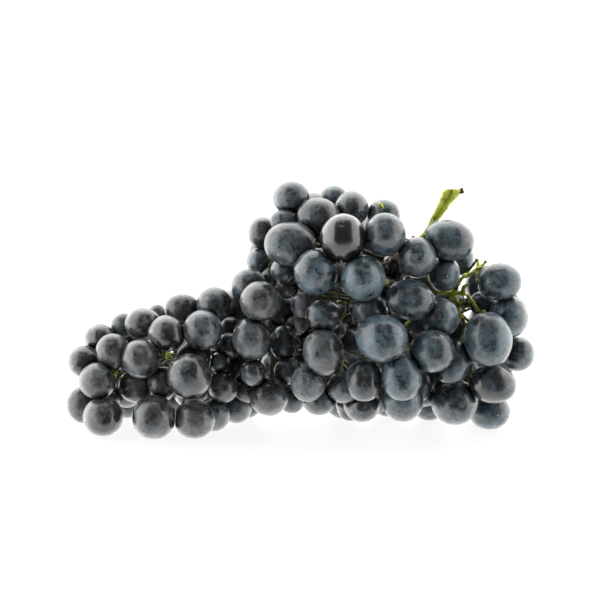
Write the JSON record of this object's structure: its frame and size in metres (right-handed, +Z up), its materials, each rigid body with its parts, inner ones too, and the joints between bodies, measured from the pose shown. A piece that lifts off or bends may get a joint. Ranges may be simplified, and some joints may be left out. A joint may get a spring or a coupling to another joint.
{
  "type": "bunch of grapes",
  "caption": "Bunch of dark oval table grapes packed round a branched green stalk, lying on its side with the cut stalk end standing out at the thick end.",
  "frame": {"origin": "on the table, under the middle of the bunch", "axes": "+X along the bunch from the narrow tail to the end with the cut stalk, +Z up from the table, -Y the side that the picture shows"},
  "size_m": [0.2004, 0.1018, 0.1066],
  "materials": {
    "grape_skin": "blue-black skin under a thin pale waxy bloom, glossier where the bloom is rubbed off",
    "green_stalk": "fresh yellow-green stalk with brown corky tips and joints"
  },
  "bodies": {
    "root": {"stalk": "green_stalk", "berries_tail": "grape_skin", "berries_waist": "grape_skin", "berries_shoulder": "grape_skin", "berries_wing": "grape_skin"}
  },
  "joints": []
}
